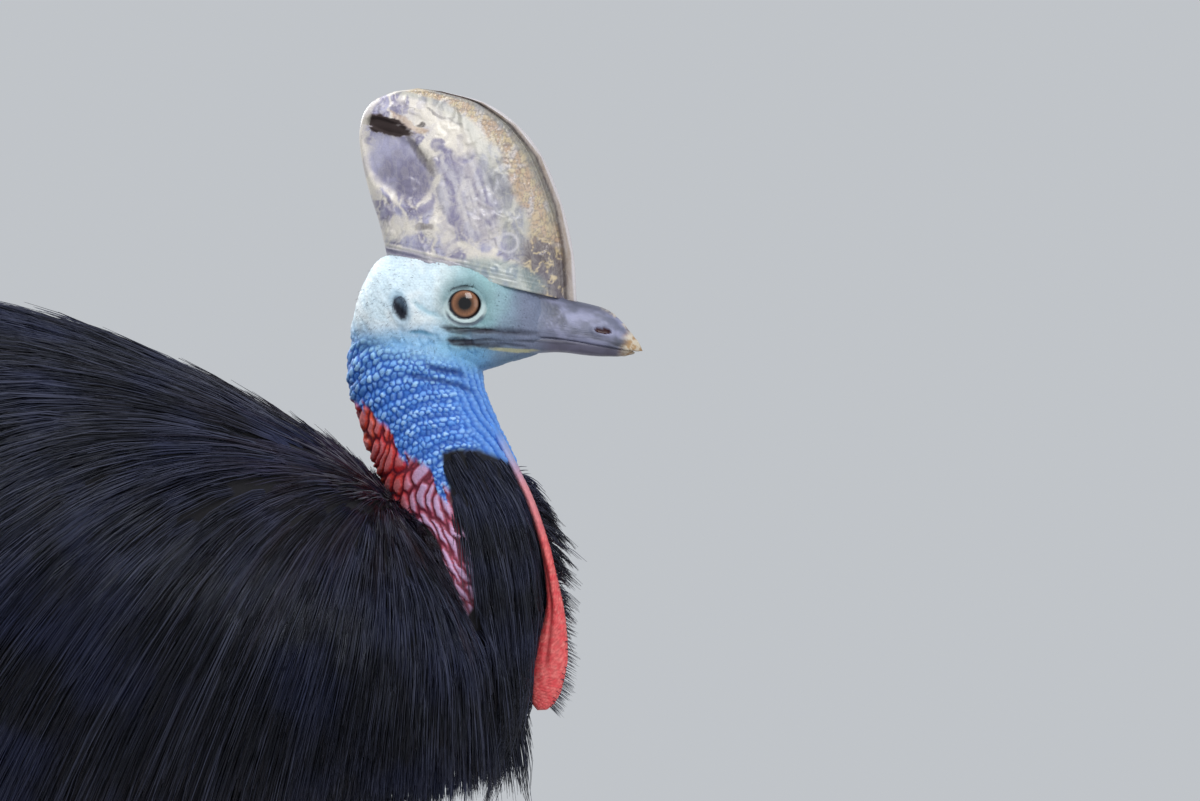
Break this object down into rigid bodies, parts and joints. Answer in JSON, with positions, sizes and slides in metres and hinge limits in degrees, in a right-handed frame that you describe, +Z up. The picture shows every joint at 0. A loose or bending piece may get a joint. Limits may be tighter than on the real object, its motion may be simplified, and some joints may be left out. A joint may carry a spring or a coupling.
{
  "type": "southern cassowary",
  "caption": "Standing life-size cassowary with a tall bladed casque, bare wattled neck, hanging shaggy plumage, bare scaly legs and dagger-clawed feet.",
  "frame": {"origin": "on the floor, under the middle of the bird's bounding box", "axes": "+X forward towards the bill tip, +Y to the bird's left, +Z up"},
  "size_m": [0.9812, 0.442, 1.129],
  "materials": {
    "plumage": "black, coarse, hair-like feathers with a soft violet-blue gloss",
    "neck_skin_blue": "matt, granular bare skin in small folds, cobalt blue",
    "face_skin": "matt, fine-grained bare skin, pale blue-green",
    "casque_horn": "mottled satin horn, lilac grey to cream and tan",
    "bill_horn": "satin horn, slate grey with a yellowish tip",
    "iris": "wet gloss, amber brown with a dark pupil",
    "wattle_skin": "soft, bristly bare skin, coral red",
    "leg_skin": "scaly matt skin, olive grey-brown",
    "claw_horn": "smooth satin horn, near black",
    "quill": "smooth bare quills, black"
  },
  "bodies": {
    "root": {"casque": "casque_horn", "head": "face_skin", "bill_upper": "bill_horn", "bill_lower": "bill_horn", "neck_upper": "neck_skin_blue", "neck_lower_breast": "plumage", "torso": "plumage", "tail": "plumage", "eye_right": "iris", "wattle_right": "wattle_skin", "wing_right": "quill", "thigh_right": "plumage", "shank_right": "leg_skin", "tarsus_right": "leg_skin", "toe_middle_right": "leg_skin", "claw_middle_right": "claw_horn", "toe_inner_right": "leg_skin", "claw_inner_right": "claw_horn", "toe_outer_right": "leg_skin", "claw_outer_right": "claw_horn", "eye_left": "iris", "wattle_left": "wattle_skin", "wing_left": "quill", "thigh_left": "plumage", "shank_left": "leg_skin", "tarsus_left": "leg_skin", "toe_middle_left": "leg_skin", "claw_middle_left": "claw_horn", "toe_inner_left": "leg_skin", "claw_inner_left": "claw_horn", "toe_outer_left": "leg_skin", "claw_outer_left": "claw_horn"}
  },
  "joints": []
}
